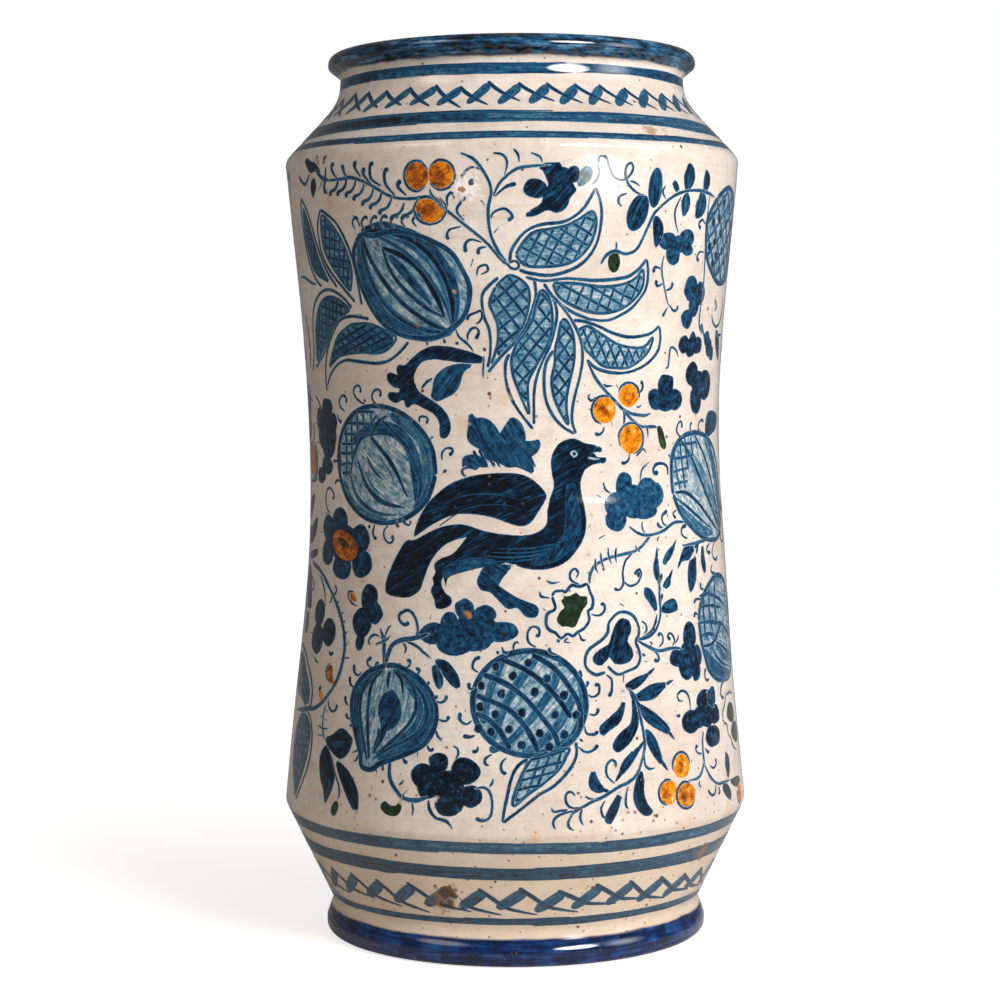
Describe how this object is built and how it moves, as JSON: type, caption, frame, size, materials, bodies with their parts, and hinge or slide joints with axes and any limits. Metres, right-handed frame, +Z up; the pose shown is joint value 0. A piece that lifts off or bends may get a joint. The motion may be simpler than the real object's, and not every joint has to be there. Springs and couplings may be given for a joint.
{
  "type": "albarello drug jar",
  "caption": "Waisted tin-glazed earthenware drug jar with an angular shoulder and hip, an everted lip for tying on a cover, a flared foot and blue painted foliage.",
  "frame": {"origin": "centre of the jar's foot, in the plane that the foot ring stands on", "axes": "+Z up along the axis that the jar was thrown on; the pictured side faces -Y, with +X to its right"},
  "size_m": [0.159, 0.159, 0.3],
  "materials": {
    "tin_glaze": "glossy cream tin glaze over buff earthenware, painted in cobalt blue, orange and green, with fine pits",
    "cobalt_paint": "glossy cobalt painting sunk in the tin glaze, from thin grey-blue wash to near-black pooled blue",
    "antimony_paint": "glossy orange-yellow painting sunk in the tin glaze, with darker mottling",
    "copper_paint": "glossy dark green painting sunk in the tin glaze"
  },
  "bodies": {
    "root": {"jar": "tin_glaze"}
  },
  "joints": []
}
